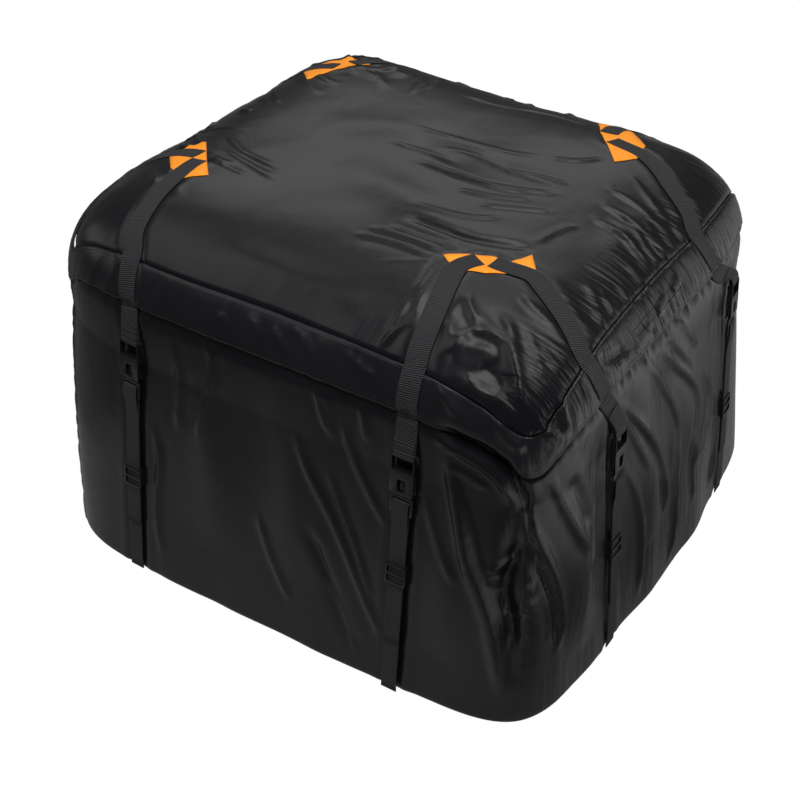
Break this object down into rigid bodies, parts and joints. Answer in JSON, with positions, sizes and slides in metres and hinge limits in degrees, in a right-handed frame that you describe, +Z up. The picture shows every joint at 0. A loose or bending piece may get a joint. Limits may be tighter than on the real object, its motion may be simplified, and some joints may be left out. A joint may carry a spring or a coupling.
{
  "type": "roof cargo bag",
  "caption": "Soft black car-roof luggage bag, packed full, with a zipped lid under a storm flap, webbing straps with side-release buckles and orange corner patches.",
  "frame": {"origin": "middle of the bag's bounding box, on the plane the base rests on", "axes": "+Z up; the face nearest on the left of the picture looks along -Y (front); +X toward the right face"},
  "size_m": [0.9774, 0.9388, 0.5756],
  "materials": {
    "body_cloth": "satin coated polyester cloth",
    "flap_cloth": "satin coated polyester cloth, two layers",
    "patch_cloth": "matt woven cloth",
    "webbing": "ribbed polypropylene webbing",
    "buckle_plastic": "moulded acetal, fine satin",
    "zip": "moulded zip chain and sliders"
  },
  "bodies": {
    "bag": {"bag_body": "body_cloth", "storm_flap": "flap_cloth", "zip_chain": "zip", "corner_patch_front_right": "patch_cloth", "corner_patch_back_right": "patch_cloth", "corner_patch_back_left": "patch_cloth", "corner_patch_front_left": "patch_cloth", "upper_webbing_front_left": "webbing", "lower_webbing_front_left": "webbing", "buckle_female_front_left": "buckle_plastic", "upper_webbing_front_right": "webbing", "lower_webbing_front_right": "webbing", "buckle_female_front_right": "buckle_plastic", "upper_webbing_right_front": "webbing", "lower_webbing_right_front": "webbing", "buckle_female_right_front": "buckle_plastic", "upper_webbing_right_back": "webbing", "lower_webbing_right_back": "webbing", "buckle_female_right_back": "buckle_plastic", "upper_webbing_back_right": "webbing", "lower_webbing_back_right": "webbing", "buckle_female_back_right": "buckle_plastic", "upper_webbing_back_left": "webbing", "lower_webbing_back_left": "webbing", "buckle_female_back_left": "buckle_plastic", "upper_webbing_left_back": "webbing", "lower_webbing_left_back": "webbing", "buckle_female_left_back": "buckle_plastic", "upper_webbing_left_front": "webbing", "lower_webbing_left_front": "webbing", "buckle_female_left_front": "buckle_plastic"},
    "buckle_front_left": {"buckle_male_front_left": "buckle_plastic"},
    "buckle_front_right": {"buckle_male_front_right": "buckle_plastic"},
    "buckle_right_front": {"buckle_male_right_front": "buckle_plastic"},
    "buckle_right_back": {"buckle_male_right_back": "buckle_plastic"},
    "buckle_back_right": {"buckle_male_back_right": "buckle_plastic"},
    "buckle_back_left": {"buckle_male_back_left": "buckle_plastic"},
    "buckle_left_back": {"buckle_male_left_back": "buckle_plastic"},
    "buckle_left_front": {"buckle_male_left_front": "buckle_plastic"},
    "keeper_front_left_body": {"keeper_front_left": "buckle_plastic"},
    "keeper_front_right_body": {"keeper_front_right": "buckle_plastic"},
    "keeper_right_front_body": {"keeper_right_front": "buckle_plastic"},
    "keeper_right_back_body": {"keeper_right_back": "buckle_plastic"},
    "keeper_back_right_body": {"keeper_back_right": "buckle_plastic"},
    "keeper_back_left_body": {"keeper_back_left": "buckle_plastic"},
    "keeper_left_back_body": {"keeper_left_back": "buckle_plastic"},
    "keeper_left_front_body": {"keeper_left_front": "buckle_plastic"},
    "zip_slider_left_body": {"zip_slider_left": "zip"},
    "zip_pull_left_body": {"zip_pull_left": "zip"},
    "zip_slider_right_body": {"zip_slider_right": "zip"},
    "zip_pull_right_body": {"zip_pull_right": "zip"}
  },
  "joints": [
    {"name": "release_front_left", "type": "slide", "parent": "bag", "child": "buckle_front_left", "axis": [-0.0069, -0.0795, -0.9968], "range_m": [0, 0.034], "deforming": ["lower_webbing_front_left"]},
    {"name": "release_front_right", "type": "slide", "parent": "bag", "child": "buckle_front_right", "axis": [0.0003, -0.062, -0.9981], "range_m": [0, 0.034], "deforming": ["lower_webbing_front_right"]},
    {"name": "release_right_front", "type": "slide", "parent": "bag", "child": "buckle_right_front", "axis": [0.0681, -0.0001, -0.9977], "range_m": [0, 0.034], "deforming": ["lower_webbing_right_front"]},
    {"name": "release_right_back", "type": "slide", "parent": "bag", "child": "buckle_right_back", "axis": [0.0725, 0.0069, -0.9973], "range_m": [0, 0.034], "deforming": ["lower_webbing_right_back"]},
    {"name": "release_back_right", "type": "slide", "parent": "bag", "child": "buckle_back_right", "axis": [-0.0004, -0.003, -1], "range_m": [0, 0.034], "deforming": ["lower_webbing_back_right"]},
    {"name": "release_back_left", "type": "slide", "parent": "bag", "child": "buckle_back_left", "axis": [0.0001, -0.043, -0.9991], "range_m": [0, 0.034], "deforming": ["lower_webbing_back_left"]},
    {"name": "release_left_back", "type": "slide", "parent": "bag", "child": "buckle_left_back", "axis": [0.1125, -0.0003, -0.9937], "range_m": [0, 0.034], "deforming": ["lower_webbing_left_back"]},
    {"name": "release_left_front", "type": "slide", "parent": "bag", "child": "buckle_left_front", "axis": [0.0796, 0.0083, -0.9968], "range_m": [0, 0.034], "deforming": ["lower_webbing_left_front"]},
    {"name": "keeper_slide_front_left", "type": "slide", "parent": "bag", "child": "keeper_front_left_body", "axis": [0.0043, 0.1002, 0.995], "range_m": [-0.035, 0.025]},
    {"name": "keeper_slide_front_right", "type": "slide", "parent": "bag", "child": "keeper_front_right_body", "axis": [-0.0007, 0.0912, 0.9958], "range_m": [-0.035, 0.025]},
    {"name": "keeper_slide_right_front", "type": "slide", "parent": "bag", "child": "keeper_right_front_body", "axis": [-0.0787, 0.0002, 0.9969], "range_m": [-0.035, 0.025]},
    {"name": "keeper_slide_right_back", "type": "slide", "parent": "bag", "child": "keeper_right_back_body", "axis": [-0.0887, -0.0038, 0.996], "range_m": [-0.035, 0.025]},
    {"name": "keeper_slide_back_right", "type": "slide", "parent": "bag", "child": "keeper_back_right_body", "axis": [0.0027, 0.0462, 0.9989], "range_m": [-0.035, 0.025]},
    {"name": "keeper_slide_back_left", "type": "slide", "parent": "bag", "child": "keeper_back_left_body", "axis": [-0.0004, 0.0675, 0.9977], "range_m": [-0.035, 0.025]},
    {"name": "keeper_slide_left_back", "type": "slide", "parent": "bag", "child": "keeper_left_back_body", "axis": [-0.1706, 0.001, 0.9853], "range_m": [-0.035, 0.025]},
    {"name": "keeper_slide_left_front", "type": "slide", "parent": "bag", "child": "keeper_left_front_body", "axis": [-0.1577, -0.0051, 0.9875], "range_m": [-0.035, 0.025]},
    {"name": "zip_run_left", "type": "slide", "parent": "bag", "child": "zip_slider_left_body", "axis": [-0.9999, 0.017, -0.0024], "range_m": [0, 0.05]},
    {"name": "zip_pull_swing_left", "type": "hinge", "parent": "zip_slider_left_body", "child": "zip_pull_left_body", "pos_m": [0.09875, -0.41052, 0.49772], "axis": [0.0073, 0.5491, 0.8357], "range_deg": [0, 6]},
    {"name": "zip_run_right", "type": "slide", "parent": "bag", "child": "zip_slider_right_body", "axis": [0.9999, -0.017, 0.0024], "range_m": [0, 0.09]},
    {"name": "zip_pull_swing_right", "type": "hinge", "parent": "zip_slider_right_body", "child": "zip_pull_right_body", "pos_m": [0.11626, -0.41082, 0.49776], "axis": [-0.0073, -0.5491, -0.8357], "range_deg": [0, 6]}
  ]
}
